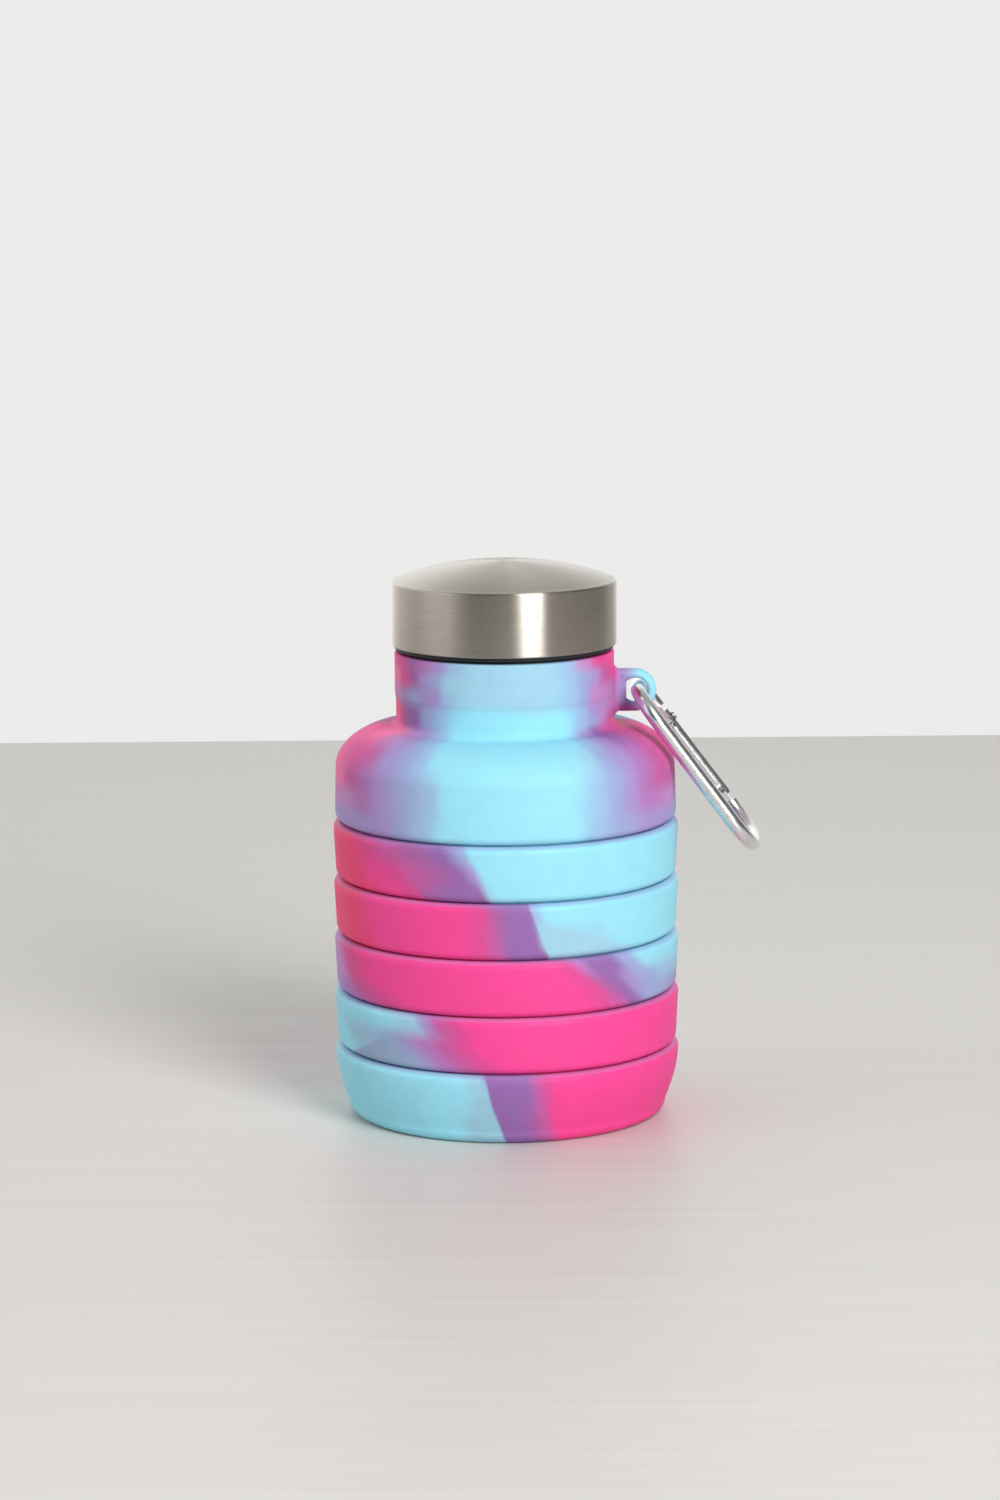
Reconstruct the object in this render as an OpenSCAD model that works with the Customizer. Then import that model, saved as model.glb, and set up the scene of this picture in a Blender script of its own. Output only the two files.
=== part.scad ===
// Folding water bottle, folded flat: a silicone body of stacked rings that nest into each other, a rigid
// threaded neck, a steel screw cap with a plastic liner and a gasket, and a small spring-gate carabiner that
// hangs from a loop on the neck. Millimetres, +Z up, origin at the centre of the base on the surface it
// stands on, the loop and carabiner towards +X.

/* [Body] */
// Outer radius of the rings at their widest
ring_r = 35; // [34.5:0.1:36]
// Wall thickness of the rings under their rims
wall = 2; // [1.8:0.1:2.2]
// Height that each folded ring adds to the stack
ring_pitch = 11.5; // [11.5:0.1:12.5]
// Height of the base cup's rim
base_rim_z = 14.5; // [14.5:0.1:16]
// Thickness of the base
floor_t = 2.3; // [2:0.1:2.4]

/* [Folds] */
// Radius of the living hinge at the inner end of each fold
hinge_r = 27; // [26:0.1:28]
// Rise of each fold, half of how far it opens
fold_h = 10.2; // [9.8:0.1:10.2]
// Thickness of the thin web that flips over
web_t = 0.9; // [0.7:0.1:1]
// Thickness of the stiffer cone that the web lies against
cone_t = 1.2; // [1:0.1:1.3]

/* [Neck] */
// Outer radius of the silicone neck
neck_r = 22.2; // [22:0.1:22.5]
// Height of the shoulder above the top ring
shoulder_h = 19.1; // [18.5:0.1:20]
// Height of the silicone neck above the shoulder
neck_h = 15.3; // [15:0.1:16]
// Radius of the drinking mouth
mouth_r = 17; // [16:0.1:17.2]

/* [Cap] */
// Outer radius of the steel cap
cap_r = 22.8; // [22.7:0.1:23]
// Height of the cap's straight side
cap_side_h = 12.5; // [12.4:0.1:13.5]
// Rise of the domed top
dome_h = 3.8; // [3:0.1:4.5]
// Rise of the screw thread in one turn
thread_pitch = 3; // [2.8:0.1:3.2]

/* [Loop] */
// Thickness of the silicone loop
loop_t = 3.4; // [3:0.1:3.6]
// Radius of the loop's rounded end
loop_end_r = 4.3; // [4.2:0.1:4.8]
// Radius of the hole in the loop
loop_hole_r = 2.5; // [2.4:0.1:2.6]

/* [Carabiner] */
// Diameter of the carabiner's rod
rod_d = 3; // [2.8:0.1:3]
// Length of the carabiner between the rod's centre lines
clip_l = 39.1; // [38:0.1:42]
// Width of the carabiner between the rod's centre lines
clip_w = 22; // [21:0.1:24]
// How far the carabiner hangs below horizontal
clip_tilt = 53.7; // [45:0.1:54]
// How far it twists about its own length
clip_twist = 1.5; // [0:0.5:3]

/* [Hidden] */

$fn = 96;
ring_count = 4;
body_gap = 0.3;      // between silicone faces that part when the body opens
seam_gap = 0.05;     // between faces of one moulding that is divided where it flexes
round_steps = 8;     // steps in the larger rounds of an outline
small_steps = 6;     // steps in its smaller rounds

// Rings and folds. Levels run from the base cup, 0, through the rings, 1 to 4, to the shoulder, 5.
wall_in = ring_r - wall;
rim_round = 1.6;
foot_r = ring_r - 0.4;
foot_round = 1.5;
web_drop = 1.1;      // from a rim's top to where its web starts
fold_a = atan(fold_h / (wall_in - hinge_r));
cone_under = web_t / 2 + body_gap;
cone_over = cone_under + cone_t;
bead_r = 1.05;
bead_off = cone_over - bead_r;
bead_from = asin((cone_under - bead_off) / bead_r);
bead_steps = 14;
web_from = 1.2;      // the web stops short of the bead that it hinges on

// Base cup
base_flat_r = 29.8;
base_round = 2.6;
base_bulge = 1.7;    // exponent of the side's gentle curve
base_steps = 8;
floor_round = 2.4;

// Shoulder and neck
shoulder_rim_z = base_rim_z + ring_count * ring_pitch;
shoulder_top_z = shoulder_rim_z + shoulder_h;
shoulder_wall_r = foot_r - 0.2;
shoulder_foot_h = 3.5;
crown_r = neck_r + 2.2;
crown_h = 7.6;
crown_n = 1.75;      // exponent of the shoulder's curve
crown_steps = 14;
crown_t = 1.8;
shoulder_in_r = shoulder_wall_r - crown_t + 0.1;
neck_low_r = neck_r - 0.2;
neck_fillet = 1.75;
neck_step_z = shoulder_top_z + 6.3;
neck_step_h = 0.3;
neck_top_z = shoulder_top_z + neck_h;
neck_round = 0.5;
neck_bore_r = neck_r - 2;

// Rigid neck insert and its thread
insert_out_r = neck_bore_r - seam_gap;
insert_flange_r = 23.4;
insert_flange_t = 2;
insert_gap = 0.2;    // between the flange and the silicone above it
insert_foot_z = shoulder_top_z - crown_t - insert_gap - insert_flange_t;
insert_proud = 0.3;  // how far the insert's step stands above the silicone neck
insert_step_z = neck_top_z + insert_proud;
thread_root_r = mouth_r + 1.6;
thread_crest_r = thread_root_r + 1;
male_turns = 2;
female_turns = 1.5;
thread_foot_z = insert_step_z + 2.2;
thread_embed = 0.3;
lip_h = 9.4;
lip_z = insert_step_z + lip_h;
lip_chamfer = 0.4;

// Cap
liner_gap = 0.2;     // between the liner's foot and the neck
liner_r = cap_r - 0.6;
liner_bore_r = thread_crest_r + 0.3;
liner_crest_r = thread_root_r + 0.35;
liner_foot_z = insert_step_z + liner_gap;
liner_show = 0.85;   // how much of the liner shows under the steel
seal_t = 1.35;
seal_gap = 0.15;
seal_in_r = mouth_r - 1.8;
seal_out_r = liner_bore_r - 0.3;
seal_z = lip_z + seal_gap;
liner_roof_z = seal_z + seal_t + 0.1;
liner_roof_t = 1.9;
shell_t = 0.5;
shell_foot_z = liner_foot_z + liner_show;
shell_side_z = shell_foot_z + cap_side_h;
shell_edge_r = 0.45;
dome_n = 2.3;        // exponent of the dome's curve
dome_steps = 10;

// Loop
loop_reach = 4.2;    // from the neck out to the centre of the hole
loop_up = 6.9;       // from the shoulder up to the centre of the hole
loop_x = neck_r + loop_reach;
loop_z = shoulder_top_z + loop_up;
loop_root_x = neck_r - 1.2;

// Carabiner, drawn flat: X runs from its top bend to its bottom bend, Y from its spine to its gate.
clip_shift = 0.8;    // from the hole's centre to the rod's, square to the carabiner
clip_x = loop_x + clip_shift * sin(clip_tilt);
clip_z = loop_z + clip_shift * cos(clip_tilt);
rod_r = rod_d / 2;
spine_y = -clip_w / 2;
latch_y = clip_w / 2;
hinge_y = latch_y - 2;
top_bend = 7;
low_bend = 8.2;
hinge_x = 10.3;
latch_x = clip_l - 10.2;
tongue_t = 1.1;
tongue_r = 1.2;
nose_t = 0.9;
nose_w = 2.2;
nose_reach = 0.9;
nose_from = 1.05;    // how far past the spine's end the rod starts again at the nose
notch_r = 0.55;
gate_r = 1.4;
gate_a = atan((latch_y - hinge_y) / (latch_x - hinge_x));
gate_reach = norm([latch_x - hinge_x, latch_y - hinge_y]);
gate_end = gate_reach + 1.2;
gate_tail = 2.1;     // how far the gate's cheeks reach back over the tongue
hinge_slot_t = 1.4;
hinge_slot_end = 1.75;
nose_slot_t = 1.2;
nose_slot_l = 3.3;
pin_r = 0.5;
pin_run = 0.06;
pin_head_r = 0.95;
pin_head_t = 0.5;
latch_pin_r = 0.4;
bore_r = 0.75;
bore_end = 9;
plunger_r = 0.65;
plunger_from = tongue_r + 0.1;
plunger_to = 4;
spring_r = 0.5;
spring_wire_r = 0.14;
spring_turns = 7;
spring_sides = 6;
spring_steps = 12;
spring_gap = 0.05;

function rim_z(level) = base_rim_z + level * ring_pitch;

function arc(c, r, from, to, steps) =
    [for (i = [0:steps]) let (a = from + (to - from) * i / steps) [c[0] + r * cos(a), c[1] + r * sin(a)]];

// A point beside a fold: s up along the web from its hinge, off square to it on the side towards the axis.
function fold_point(rim, s, off) =
    [hinge_r + s * cos(fold_a) - off * sin(fold_a),
     rim - web_drop - fold_h + s * sin(fold_a) + off * cos(fold_a)];
function fold_at_r(r, off) = (r - hinge_r + off * sin(fold_a)) / cos(fold_a);
function fold_at_z(rise, off) = (web_drop + fold_h + rise - off * cos(fold_a)) / sin(fold_a);

// The outline of a rim's rounded top, from its inner edge to its widest point.
function rim_top(z) =
    arc([ring_r - rim_round, z - rim_round], rim_round, acos((wall_in - ring_r + rim_round) / rim_round), 0,
        round_steps);

// The foot of a ring and the cone under it, down to the hinge bead and back up to the inner wall.
function ring_foot(rim, outer, inner) = concat(
    arc([outer - foot_round, rim + body_gap + foot_round], foot_round, 0, -90, round_steps),
    [fold_point(rim, fold_at_z(body_gap, cone_under), cone_under)],
    arc(fold_point(rim, 0, bead_off), bead_r, fold_a + bead_from, fold_a - 270, bead_steps),
    [fold_point(rim, fold_at_r(inner, cone_over), cone_over)]);

function base_side(z) =
    ring_r - (ring_r - base_flat_r - base_round)
        * pow((base_rim_z - rim_round - z) / (base_rim_z - rim_round - base_round), base_bulge);

// The shoulder's curve, a quarter of a superellipse from the neck out to the wall.
function crown(across, up, from, to) =
    [for (i = [0:crown_steps]) let (a = from + (to - from) * i / crown_steps)
        [crown_r + across * pow(cos(a), 2 / crown_n),
         shoulder_top_z - crown_h + up * pow(sin(a), 2 / crown_n)]];

function dome(edge_r, edge_z, from, to) =
    [for (i = [0:dome_steps]) let (r = edge_r * (from + (to - from) * i / dome_steps))
        [r, edge_z + dome_h * (1 - pow(r / edge_r, dome_n))]];

module base_cup() {
    color("paleturquoise") rotate_extrude() polygon(concat(
        [[0, floor_t], [0, 0]],
        arc([base_flat_r, base_round], base_round, -90, 0, small_steps),
        [for (i = [1:base_steps])
            let (z = base_round + (base_rim_z - rim_round - base_round) * i / base_steps) [base_side(z), z]],
        [for (i = [1:round_steps]) rim_top(base_rim_z)[round_steps - i]],
        [for (i = [0:base_steps - 1])
            let (down = (base_rim_z - rim_round - floor_t - floor_round) * i / base_steps,
                 z = base_rim_z - rim_round - down)
            [base_side(z) - wall, z]],
        arc([base_side(floor_t + floor_round) - wall - floor_round, floor_t + floor_round], floor_round,
            0, -90, small_steps)));
}

// One ring with its stiff nesting cone, the bead of its living hinge and its rounded rim.
module band(level) {
    rotate_extrude() polygon(concat(
        rim_top(rim_z(level)),
        ring_foot(rim_z(level - 1), foot_r, wall_in),
        [[wall_in, rim_z(level) - rim_round]]));
}

module band_1() color("orchid") band(4);
module band_2() color("hotpink") band(3);
module band_3() color("palevioletred") band(2);
module band_4() color("plum") band(1);

// The thin web that hangs inside a rim and flips over when the ring above it is pulled out.
module fold_web(level) {
    web_out_r = wall_in - seam_gap;
    color("lightsteelblue") rotate_extrude() polygon([
        fold_point(rim_z(level), web_from, web_t / 2),
        fold_point(rim_z(level), web_from, -web_t / 2),
        fold_point(rim_z(level), fold_at_r(web_out_r, -web_t / 2), -web_t / 2),
        fold_point(rim_z(level), fold_at_r(web_out_r, web_t / 2), web_t / 2)]);
}

module fold_web_1() fold_web(4);
module fold_web_2() fold_web(3);
module fold_web_3() fold_web(2);
module fold_web_4() fold_web(1);
module fold_web_5() fold_web(0);

module shoulder() {
    color("skyblue") difference() {
        union() {
            rotate_extrude() polygon(concat(
                [[neck_bore_r, neck_top_z]],
                arc([neck_r - neck_round, neck_top_z - neck_round], neck_round, 90, 0, small_steps),
                [[neck_r, neck_step_z + neck_step_h], [neck_low_r, neck_step_z]],
                arc([neck_low_r + neck_fillet, shoulder_top_z + neck_fillet], neck_fillet, 180, 270,
                    small_steps),
                crown(shoulder_wall_r - crown_r, crown_h, 90, 0),
                [[foot_r, shoulder_rim_z + shoulder_foot_h]],
                ring_foot(shoulder_rim_z, foot_r, shoulder_in_r),
                crown(shoulder_in_r - crown_r, crown_h - crown_t, 0, 90),
                [[neck_bore_r, shoulder_top_z - crown_t]]));
            loop_solid();
        }
        translate([loop_x, 0, loop_z]) rotate([90, 0, 0])
            cylinder(r = loop_hole_r, h = 3 * loop_t, center = true);
    }
}

module loop_solid() {
    translate([loop_x, 0, loop_z]) rotate([90, 0, 0]) cylinder(r = loop_end_r, h = loop_t, center = true);
    translate([loop_root_x, -loop_t / 2, loop_z - loop_end_r])
        cube([loop_x - loop_root_x, loop_t, 2 * loop_end_r]);
}

// A helical ridge of trapezoidal section, right-handed, that runs out to nothing at both ends.
module thread_ridge(base_r, crest_r, start_z, turns) {
    steps_per_turn = 48;
    steps = turns * steps_per_turn;
    fade = steps_per_turn / 8;
    base_w = 1.5;
    crest_w = 0.8;
    points = [for (i = [0:steps])
        let (
            a = 360 * i / steps_per_turn,
            z = start_z + thread_pitch * i / steps_per_turn,
            k = min(1, (i + 0.5) / fade, (steps - i + 0.5) / fade),
            top = base_r + (crest_r - base_r) * k)
        each [
            [base_r * cos(a), base_r * sin(a), z - base_w / 2],
            [top * cos(a), top * sin(a), z - crest_w / 2],
            [top * cos(a), top * sin(a), z + crest_w / 2],
            [base_r * cos(a), base_r * sin(a), z + base_w / 2]]];
    sides = [for (i = [0:steps - 1], j = [0:3])
        each [[4 * i + j, 4 * i + (j + 1) % 4, 4 * i + 4 + j],
              [4 * i + (j + 1) % 4, 4 * i + 4 + (j + 1) % 4, 4 * i + 4 + j]]];
    ends = [[3, 2, 1, 0], [4 * steps, 4 * steps + 1, 4 * steps + 2, 4 * steps + 3]];
    outward = crest_r > base_r;
    faces = concat(sides, ends);
    polyhedron(points, outward ? faces : [for (f = faces) [for (i = [len(f) - 1:-1:0]) f[i]]]);
}

module neck_insert() {
    color("dimgray") union() {
        rotate_extrude() polygon([
            [mouth_r, insert_foot_z], [insert_flange_r, insert_foot_z],
            [insert_flange_r, insert_foot_z + insert_flange_t],
            [insert_out_r, insert_foot_z + insert_flange_t],
            [insert_out_r, insert_step_z], [thread_root_r, insert_step_z],
            [thread_root_r, lip_z - lip_chamfer], [thread_root_r - lip_chamfer, lip_z], [mouth_r, lip_z]]);
        thread_ridge(thread_root_r - thread_embed, thread_crest_r, thread_foot_z, male_turns);
    }
}

module cap_liner() {
    color("dimgray") union() {
        rotate_extrude() polygon([
            [liner_bore_r, liner_foot_z], [liner_r, liner_foot_z], [liner_r, liner_roof_z + liner_roof_t],
            [0, liner_roof_z + liner_roof_t], [0, liner_roof_z], [liner_bore_r, liner_roof_z]]);
        thread_ridge(liner_bore_r + thread_embed, liner_crest_r, thread_foot_z + thread_pitch / 2,
            female_turns);
    }
}

module cap_shell() {
    edge_x = cap_r - shell_edge_r;
    edge_z = shell_side_z + shell_edge_r;
    color("silver") rotate_extrude() polygon(concat(
        [[cap_r - shell_t, shell_foot_z], [cap_r, shell_foot_z]],
        arc([edge_x, shell_side_z], shell_edge_r, 0, 80, 5),
        dome(edge_x, edge_z, 1, 0),
        dome(edge_x - shell_t, edge_z - shell_t, 0, 1),
        [[cap_r - shell_t, shell_side_z - 0.2]]));
}

module cap_seal() {
    color("whitesmoke") translate([0, 0, seal_z]) difference() {
        cylinder(r = seal_out_r, h = seal_t);
        translate([0, 0, -1]) cylinder(r = seal_in_r, h = seal_t + 2);
    }
}

module hang()
    translate([clip_x, 0, clip_z]) rotate([0, clip_tilt, 0]) rotate([clip_twist, 0, 0]) children();
module at_hinge() hang() translate([hinge_x, hinge_y, 0]) rotate([0, 0, gate_a]) children();

module rod(p, q, r) {
    d = q - p;
    translate([p[0], p[1], 0]) rotate([0, 90, atan2(d[1], d[0])]) cylinder(r = r, h = norm(d));
}

module bend(c, r, from, sweep) {
    translate([c[0], c[1], 0]) rotate([0, 0, from])
        rotate_extrude(angle = sweep) translate([r, 0]) circle(r = rod_r, $fn = 32);
}

module carabiner_frame() {
    spine_end = clip_l - low_bend;
    top_a = spine_y + top_bend;
    top_b = hinge_y - top_bend;
    low_a = spine_y + low_bend;
    low_b = latch_y - low_bend;
    nose_a = asin(nose_from / low_bend);
    color("silver") hang() difference() {
        union() {
            rod([top_bend, spine_y], [spine_end, spine_y], rod_r);
            bend([top_bend, top_a], top_bend, 180, 90);
            rod([0, top_a], [0, top_b], rod_r);
            bend([top_bend, top_b], top_bend, 90, 90);
            bend([spine_end, low_a], low_bend, 270, 90);
            rod([clip_l, low_a], [clip_l, low_b], rod_r);
            bend([spine_end, low_b], low_bend, 0, 90 - nose_a);
            translate([hinge_x, hinge_y, -tongue_t / 2]) cylinder(r = tongue_r, h = tongue_t);
            translate([top_bend - 0.5, hinge_y - tongue_r, -tongue_t / 2])
                cube([hinge_x - top_bend + 0.5, 2 * tongue_r, tongue_t]);
            translate([latch_x - nose_reach, latch_y - nose_w / 2, -nose_t / 2])
                cube([spine_end + nose_from - latch_x + nose_reach + 0.5, nose_w, nose_t]);
        }
        translate([hinge_x, hinge_y, -rod_d]) cylinder(r = pin_r + 0.01, h = 2 * rod_d);
        translate([latch_x, latch_y, -rod_d]) cylinder(r = notch_r, h = 2 * rod_d);
        translate([latch_x - notch_r, latch_y - nose_w, -rod_d]) cube([2 * notch_r, nose_w, 2 * rod_d]);
    }
}

module carabiner_gate() {
    color("lightgray") at_hinge() difference() {
        rod([-gate_tail, 0], [gate_end, 0], gate_r);
        translate([-2 * gate_r, -2 * gate_r, -hinge_slot_t / 2])
            cube([hinge_slot_end + 2 * gate_r, 4 * gate_r, hinge_slot_t]);
        translate([gate_end - nose_slot_l, -2 * gate_r, -nose_slot_t / 2])
            cube([nose_slot_l + 1, 4 * gate_r, nose_slot_t]);
        translate([0, 0, -2 * gate_r]) cylinder(r = pin_r + pin_run, h = 4 * gate_r);
        translate([gate_reach, 0, -2 * gate_r]) cylinder(r = latch_pin_r + 0.01, h = 4 * gate_r);
        rod([hinge_slot_end - 0.5, 0], [bore_end, 0], bore_r);
    }
}

module gate_hinge_pin() {
    color("gray") at_hinge() union() {
        cylinder(r = pin_r, h = 2 * gate_r + 0.1, center = true);
        for (side = [0, 1]) mirror([0, 0, side])
            translate([0, 0, gate_r + 0.05])
                cylinder(r1 = pin_head_r, r2 = pin_head_r * 0.7, h = pin_head_t);
    }
}

module gate_latch_pin() {
    color("gray") at_hinge() translate([gate_reach, 0, 0])
        cylinder(r = latch_pin_r, h = 2 * gate_r * 0.96, center = true);
}

module gate_plunger() {
    color("gray") at_hinge() rod([plunger_from, 0], [plunger_to, 0], plunger_r);
}

// A coil spring in the gate's bore, between the plunger and the bore's blind end.
module gate_spring() {
    from = plunger_to + spring_wire_r + spring_gap;
    rise = bore_end - spring_gap - spring_wire_r - from;
    steps = spring_turns * spring_steps;
    points = [for (i = [0:steps], j = [0:spring_sides - 1])
        let (a = 360 * i / spring_steps, b = 360 * j / spring_sides, r = spring_r + spring_wire_r * cos(b))
        [from + rise * i / steps + spring_wire_r * sin(b), r * cos(a), r * sin(a)]];
    sides = [for (i = [0:steps - 1], j = [0:spring_sides - 1])
        let (k = (j + 1) % spring_sides, p = spring_sides * i)
        each [[p + j, p + k, p + spring_sides + j],
              [p + k, p + spring_sides + k, p + spring_sides + j]]];
    ends = [[for (j = [spring_sides - 1:-1:0]) j],
            [for (j = [0:spring_sides - 1]) spring_sides * steps + j]];
    color("darkgray") at_hinge() polyhedron(points, concat(sides, ends));
}

base_cup();
band_1();
band_2();
band_3();
band_4();
fold_web_1();
fold_web_2();
fold_web_3();
fold_web_4();
fold_web_5();
shoulder();
neck_insert();
cap_shell();
cap_liner();
cap_seal();
carabiner_frame();
carabiner_gate();
gate_hinge_pin();
gate_latch_pin();
gate_plunger();
gate_spring();
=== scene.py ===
import math

import bpy
from mathutils import Euler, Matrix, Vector


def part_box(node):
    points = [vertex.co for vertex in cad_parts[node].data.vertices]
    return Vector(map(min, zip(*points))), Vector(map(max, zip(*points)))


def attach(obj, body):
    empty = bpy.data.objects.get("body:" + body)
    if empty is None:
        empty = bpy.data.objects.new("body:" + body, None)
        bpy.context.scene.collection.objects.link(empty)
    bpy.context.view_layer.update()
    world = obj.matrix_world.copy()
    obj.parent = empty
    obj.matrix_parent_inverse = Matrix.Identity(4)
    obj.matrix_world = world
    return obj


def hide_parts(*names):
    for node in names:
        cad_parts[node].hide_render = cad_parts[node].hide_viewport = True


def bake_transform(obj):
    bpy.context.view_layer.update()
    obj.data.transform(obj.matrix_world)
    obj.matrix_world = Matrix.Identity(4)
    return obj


# Looks for the folding silicone water bottle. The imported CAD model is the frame: its boxes give every place,
# and sizes that no box shows are named below in millimetres. Meshes are made in millimetres and scaled once.

MM = 0.001
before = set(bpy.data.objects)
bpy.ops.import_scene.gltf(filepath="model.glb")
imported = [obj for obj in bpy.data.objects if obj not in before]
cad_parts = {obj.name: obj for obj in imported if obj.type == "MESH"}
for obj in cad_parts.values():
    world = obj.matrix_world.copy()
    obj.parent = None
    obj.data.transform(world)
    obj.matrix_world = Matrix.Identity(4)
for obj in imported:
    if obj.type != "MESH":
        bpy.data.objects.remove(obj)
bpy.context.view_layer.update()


def low(node):
    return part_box(node)[0] / MM


def high(node):
    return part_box(node)[1] / MM


# Body: five levels of rims, the base cup's first and the top ring's last
RINGS = ("band_4", "band_3", "band_2", "band_1")
RIMS = [high("base_cup").z] + [high(band).z for band in RINGS]
RING_R = high("band_1").x
WALL = 2.0
WALL_IN = RING_R - WALL
RIM_ROUND = 1.6
FOOT_R = RING_R - 0.4
FOOT_ROUND = 1.5
GAP = 0.3
SEAM_GAP = 0.05

# Folds: each web runs from just under a rim in to the bead on the cone above it
HINGE_R = 27.0
FOLD_H = 10.2
WEB_DROP = 1.1
WEB_T = 0.9
CONE_T = 1.2
FOLD_A = math.atan2(FOLD_H, WALL_IN - HINGE_R)
CONE_UNDER = WEB_T / 2 + GAP
CONE_OVER = CONE_UNDER + CONE_T
BEAD_R = 1.05
WEB_FROM = 1.2

# Base cup
BASE_FLAT_R = 29.8
BASE_ROUND = 2.6
BASE_BULGE = 1.7
FLOOR_T = 2.3
FLOOR_ROUND = 2.4

# Shoulder and neck
NECK_TOP_Z = high("shoulder").z
NECK_R = 22.2
NECK_LOW_R = 22.0
NECK_BORE_R = 20.2
NECK_STEP_Z = NECK_TOP_Z - 8.9
SHOULDER_TOP_Z = NECK_TOP_Z - 15.3
SHOULDER_WALL_R = 34.4
SHOULDER_FOOT_H = 3.5
SHOULDER_IN_R = 32.7
CROWN_R = 24.4
CROWN_H = 7.6
CROWN_T = 1.8
CROWN_N = 1.75
NECK_FILLET = 1.75

# Loop on the neck, whose end touches the shoulder's highest X only past the rings
LOOP_X = 26.4
LOOP_Z = NECK_TOP_Z - 8.4
LOOP_R = 4.3
LOOP_HOLE_R = 2.5
LOOP_T = 3.4

# Neck insert and cap
MOUTH_R = 17.0
LIP_Z = high("neck_insert").z
INSERT_FOOT_Z = low("neck_insert").z
STEP_Z = NECK_TOP_Z + 0.3
THREAD_ROOT_R = 18.6
THREAD_CREST_R = 19.6
THREAD_PITCH = 3.0
THREAD_FOOT_Z = STEP_Z + 2.2
CAP_R = high("cap_shell").x
CAP_TOP_Z = high("cap_shell").z
CAP_FOOT_Z = low("cap_shell").z
CAP_SIDE_H = 12.5
CAP_EDGE_R = 0.45
CAP_T = 0.5
DOME_N = 2.3
LINER_R = high("cap_liner").x
LINER_FOOT_Z = low("cap_liner").z
LINER_TOP_Z = high("cap_liner").z
LINER_BORE_R = 19.9
LINER_CREST_R = 18.95
LINER_ROOF_T = 1.9


# ---------------------------------------------------------------- outlines, all lists of (radius, height)


def arc(centre, r, start, end, steps=14):
    turns = [math.radians(start + (end - start) * i / steps) for i in range(steps + 1)]
    return [(centre[0] + r * math.cos(a), centre[1] + r * math.sin(a)) for a in turns]


def fold_point(rim, along, off):
    """A point beside the fold under a rim: along it from its hinge, and square to it towards the axis."""
    c, s = math.cos(FOLD_A), math.sin(FOLD_A)
    hinge_z = rim - WEB_DROP - FOLD_H
    return (HINGE_R + along * c - off * s, hinge_z + along * s + off * c)


def fold_at_r(r, off):
    return (r - HINGE_R + off * math.sin(FOLD_A)) / math.cos(FOLD_A)


def fold_at_z(rise, off):
    return (WEB_DROP + FOLD_H + rise - off * math.cos(FOLD_A)) / math.sin(FOLD_A)


def rim_top(z):
    inner = math.degrees(math.acos((WALL_IN - RING_R + RIM_ROUND) / RIM_ROUND))
    return arc((RING_R - RIM_ROUND, z - RIM_ROUND), RIM_ROUND, inner, 0, 18)


def ring_foot(rim, outer, inner):
    """The rounded foot on a rim, the cone under it, the hinge bead, and back up to the inner wall."""
    off = CONE_OVER - BEAD_R
    start = math.degrees(FOLD_A) + math.degrees(math.asin((CONE_UNDER - off) / BEAD_R))
    return (
        arc((outer - FOOT_ROUND, rim + GAP + FOOT_ROUND), FOOT_ROUND, 0, -90, 16)
        + [fold_point(rim, fold_at_z(GAP, CONE_UNDER), CONE_UNDER)]
        + arc(fold_point(rim, 0, off), BEAD_R, start, math.degrees(FOLD_A) - 270, 20)
        + [fold_point(rim, fold_at_r(inner, CONE_OVER), CONE_OVER)]
    )


def band_outline(level):
    top, below = RIMS[level], RIMS[level - 1]
    wall = [(WALL_IN, top - RIM_ROUND)]
    return rim_top(top) + ring_foot(below, FOOT_R, WALL_IN) + wall


def base_side(z):
    top = RIMS[0] - RIM_ROUND
    share = max(0.0, (top - z) / (top - BASE_ROUND))
    return RING_R - (RING_R - BASE_FLAT_R - BASE_ROUND) * share**BASE_BULGE


def base_outline():
    top = RIMS[0] - RIM_ROUND
    floor_z = FLOOR_T + FLOOR_ROUND
    steps = 16
    outside = [BASE_ROUND + (top - BASE_ROUND) * i / steps for i in range(1, steps)]
    inside = [top - (top - floor_z) * i / steps for i in range(steps)]
    floor_r = base_side(floor_z) - WALL - FLOOR_ROUND
    return (
        [(0, FLOOR_T), (0, 0)]
        + arc((BASE_FLAT_R, BASE_ROUND), BASE_ROUND, -90, 0, 12)
        + [(base_side(z), z) for z in outside]
        + rim_top(RIMS[0])[::-1]
        + [(base_side(z) - WALL, z) for z in inside]
        + arc((floor_r, floor_z), FLOOR_ROUND, 0, -90, 12)
    )


def crown(across, up, start, end, steps=36):
    turns = [math.radians(start + (end - start) * i / steps) for i in range(steps + 1)]
    root = SHOULDER_TOP_Z - CROWN_H
    power = 2 / CROWN_N
    rounded = [(abs(math.cos(a)) ** power, abs(math.sin(a)) ** power) for a in turns]
    return [(CROWN_R + across * c, root + up * s) for c, s in rounded]


def neck_step():
    """The soft step in the neck's side, where the rigid insert behind it ends."""
    rise, steps = 1.5, 10
    points = []
    for i in range(steps + 1):
        t = i / steps
        ease = t * t * (3 - 2 * t)
        points.append((NECK_R + (NECK_LOW_R - NECK_R) * ease, NECK_STEP_Z + rise / 2 - rise * t))
    return points


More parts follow.
